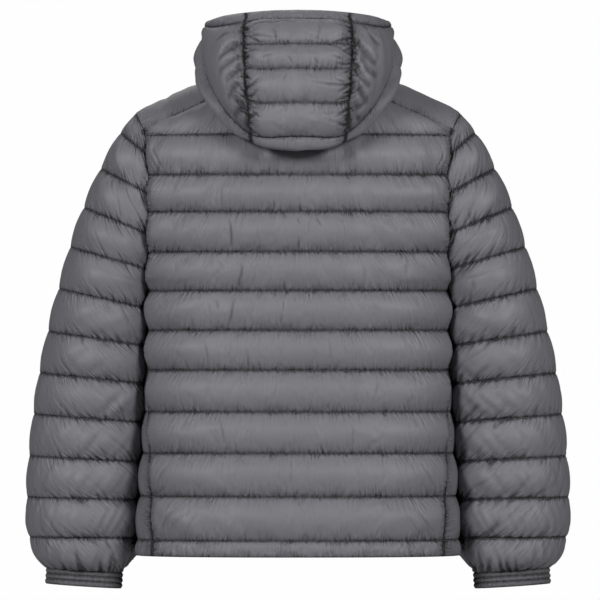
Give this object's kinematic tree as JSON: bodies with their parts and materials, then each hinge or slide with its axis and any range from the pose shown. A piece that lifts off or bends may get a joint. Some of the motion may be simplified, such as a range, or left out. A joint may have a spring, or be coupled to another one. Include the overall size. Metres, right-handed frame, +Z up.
{
  "type": "puffer jacket",
  "caption": "Quilted hooded puffer jacket, filled out with no wearer: open neck, hem, armholes and cuffs, a closed front zip and a hood lying open behind the neck.",
  "frame": {"origin": "centre of the neck opening, level with the root of the neck, where the jacket hangs from the wearer's shoulders", "axes": "+Z up along the wearer's body, -Y the way the wearer faces (the zip side), +X towards the wearer's left sleeve"},
  "size_m": [0.7526, 0.3279, 0.811],
  "materials": {
    "shell_nylon": "mid grey woven nylon with a soft sheen, quilted over down",
    "cuff_nylon": "the same nylon as narrow elasticated cuff bands",
    "tape_polyester": "dark woven polyester zip tape",
    "zip_metal": "dark satin zip chain, slider and pull tab"
  },
  "bodies": {
    "jacket": {"back_panel": "shell_nylon", "front_panel_left": "shell_nylon", "front_panel_right": "shell_nylon", "side_panel_left": "shell_nylon", "side_panel_right": "shell_nylon", "sleeve_left": "shell_nylon", "sleeve_right": "shell_nylon", "collar_back": "shell_nylon", "collar_side_left": "shell_nylon", "collar_side_right": "shell_nylon", "hood_centre": "shell_nylon", "hood_side_left": "shell_nylon", "hood_side_right": "shell_nylon", "hood_band_centre": "shell_nylon", "hood_band_side_left": "shell_nylon", "hood_band_side_right": "shell_nylon", "cuff_left": "cuff_nylon", "cuff_right": "cuff_nylon", "zip_tape_left": "tape_polyester", "zip_tape_right": "tape_polyester", "zip_chain": "zip_metal", "zip_slider": "zip_metal"},
    "pull": {"zip_pull": "zip_metal"}
  },
  "joints": [
    {"name": "pull_hinge", "type": "hinge", "parent": "jacket", "child": "pull", "pos_m": [0, -0.11477, 0.00756], "axis": [-1, 0, 0], "range_deg": [0, 150]}
  ]
}
